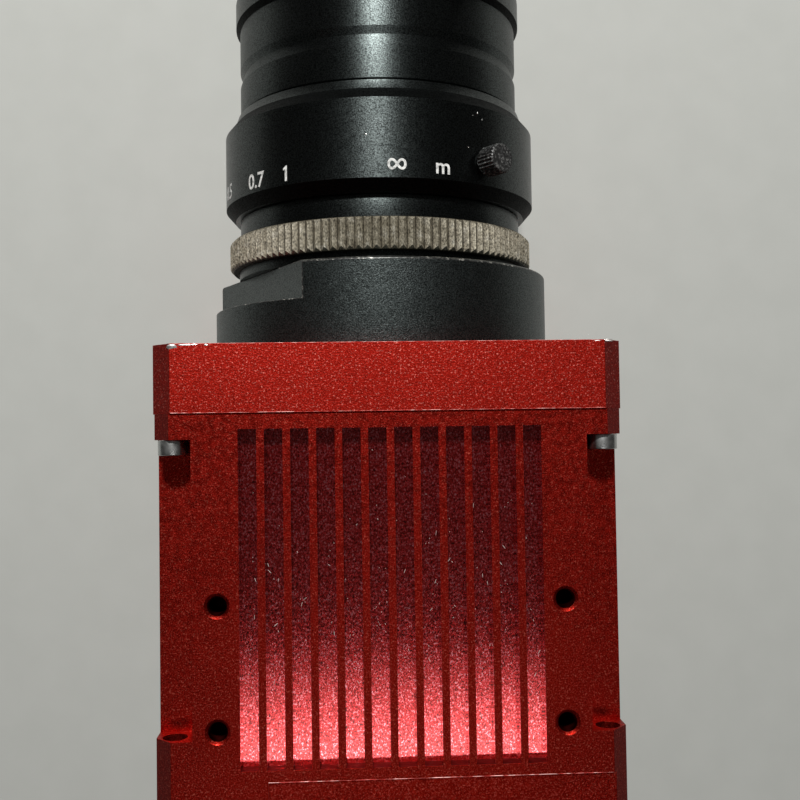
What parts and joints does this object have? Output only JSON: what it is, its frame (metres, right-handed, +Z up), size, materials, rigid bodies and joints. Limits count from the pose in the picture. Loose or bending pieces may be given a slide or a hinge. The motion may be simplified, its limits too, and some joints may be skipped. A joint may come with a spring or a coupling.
{
  "type": "machine vision camera",
  "caption": "Compact square industrial camera body with cooling grooves, adapter ring and a fixed focal length lens whose focus and iris rings turn and lock.",
  "frame": {"origin": "middle of the front plate's underside, which the camera stands on", "axes": "+Y along the lens axis towards the subject, +Z up, +X to the right seen from behind"},
  "size_m": [0.06, 0.1302, 0.06],
  "materials": {
    "red_anodised": "bead-blasted, red anodised",
    "black_anodised": "black anodised, matte",
    "dull_nickel": "nickel plated, dull and stained",
    "screw_steel": "stainless steel",
    "black_steel": "blackened, worn bright at the edges",
    "blade_steel": "blackened sheet",
    "lens_glass": "clear, coated",
    "circuit_board": "green solder mask",
    "chip_ceramic": "dark ceramic",
    "sensor_silicon": "polished silicon",
    "seal_rubber": "black",
    "socket_shell": "plated sheet",
    "socket_nickel": "nickel plated",
    "contact_gold": "gold plated",
    "led_plastic": "clear green"
  },
  "bodies": {
    "camera": {"adapter_ring": "black_anodised", "corner_screw_1": "screw_steel", "corner_screw_2": "screw_steel", "corner_screw_3": "screw_steel", "corner_screw_4": "screw_steel", "cover_screw_1": "screw_steel", "cover_screw_2": "screw_steel", "cover_screw_3": "screw_steel", "cover_screw_4": "screw_steel", "front_plate": "red_anodised", "front_seal": "seal_rubber", "front_spacer_1": "screw_steel", "front_spacer_2": "screw_steel", "front_spacer_3": "screw_steel", "front_spacer_4": "screw_steel", "guide_tube": "black_anodised", "interface_board": "circuit_board", "io_pins": "contact_gold", "io_socket": "socket_nickel", "knurled_ring": "dull_nickel", "lens_mount": "black_anodised", "main_housing": "red_anodised", "network_contacts": "contact_gold", "network_socket": "socket_shell", "processor": "chip_ceramic", "processor_board": "circuit_board", "rear_cover": "red_anodised", "rear_seal": "seal_rubber", "rear_spacer_1": "screw_steel", "rear_spacer_2": "screw_steel", "rear_spacer_3": "screw_steel", "rear_spacer_4": "screw_steel", "sensor_board": "circuit_board", "sensor_die": "sensor_silicon", "sensor_glass": "lens_glass", "sensor_package": "chip_ceramic", "status_led": "led_plastic"},
    "focus": {"focus_ring": "black_anodised"},
    "focus_lock": {"focus_lock_screw": "black_steel"},
    "barrel": {"barrel": "black_anodised", "front_ring": "black_anodised", "front_cell": "black_anodised", "rear_cell": "black_anodised", "front_retainer": "black_anodised", "rear_retainer": "black_anodised", "iris_plate": "black_anodised", "front_glass": "lens_glass", "second_glass": "lens_glass", "third_glass": "lens_glass", "fourth_glass": "lens_glass", "rear_glass": "lens_glass"},
    "iris": {"iris_ring": "black_anodised"},
    "iris_lock": {"iris_lock_screw": "black_steel"},
    "blade_1": {"iris_blade_1": "blade_steel"},
    "blade_2": {"iris_blade_2": "blade_steel"},
    "blade_3": {"iris_blade_3": "blade_steel"},
    "blade_4": {"iris_blade_4": "blade_steel"},
    "blade_5": {"iris_blade_5": "blade_steel"},
    "blade_6": {"iris_blade_6": "blade_steel"}
  },
  "joints": [
    {"name": "focus_turn", "type": "hinge", "parent": "camera", "child": "focus", "pos_m": [0, 0.0299, 0.03], "axis": [0, 1, 0], "range_deg": [-4, 96]},
    {"name": "barrel_slide", "type": "slide", "parent": "camera", "child": "barrel", "axis": [0, 1, 0], "range_m": [-0.00003, 0.00061]},
    {"name": "focus_lock_turn", "type": "hinge", "parent": "focus", "child": "focus_lock", "pos_m": [0.01411, 0.0299, 0.04942], "axis": [0.5878, 0, 0.809], "range_deg": [0, 360]},
    {"name": "iris_turn", "type": "hinge", "parent": "barrel", "child": "iris", "pos_m": [0, 0.05689, 0.03], "axis": [0, 1, 0], "range_deg": [0, 60]},
    {"name": "iris_lock_turn", "type": "hinge", "parent": "iris", "child": "iris_lock", "pos_m": [0.01293, 0.05689, 0.0478], "axis": [0.5878, 0, 0.809], "range_deg": [0, 360]},
    {"name": "blade_turn_1", "type": "hinge", "parent": "barrel", "child": "blade_1", "pos_m": [0, 0.04222, 0.0416], "axis": [0, 1, 0], "range_deg": [0, 30]},
    {"name": "blade_turn_2", "type": "hinge", "parent": "barrel", "child": "blade_2", "pos_m": [0.01005, 0.04222, 0.0358], "axis": [0, 1, 0], "range_deg": [0, 30]},
    {"name": "blade_turn_3", "type": "hinge", "parent": "barrel", "child": "blade_3", "pos_m": [0.01005, 0.04222, 0.0242], "axis": [0, 1, 0], "range_deg": [0, 30]},
    {"name": "blade_turn_4", "type": "hinge", "parent": "barrel", "child": "blade_4", "pos_m": [0, 0.04222, 0.0184], "axis": [0, 1, 0], "range_deg": [0, 30]},
    {"name": "blade_turn_5", "type": "hinge", "parent": "barrel", "child": "blade_5", "pos_m": [-0.01005, 0.04222, 0.0242], "axis": [0, 1, 0], "range_deg": [0, 30]},
    {"name": "blade_turn_6", "type": "hinge", "parent": "barrel", "child": "blade_6", "pos_m": [-0.01005, 0.04222, 0.0358], "axis": [0, 1, 0], "range_deg": [0, 30]}
  ],
  "couplings": [
    {"joint": "barrel_slide", "follows": "focus_turn", "m_per_rad": 0.0003581},
    {"joint": "blade_turn_1", "follows": "iris_turn", "ratio": 0.5},
    {"joint": "blade_turn_2", "follows": "iris_turn", "ratio": 0.5},
    {"joint": "blade_turn_3", "follows": "iris_turn", "ratio": 0.5},
    {"joint": "blade_turn_4", "follows": "iris_turn", "ratio": 0.5},
    {"joint": "blade_turn_5", "follows": "iris_turn", "ratio": 0.5},
    {"joint": "blade_turn_6", "follows": "iris_turn", "ratio": 0.5}
  ]
}
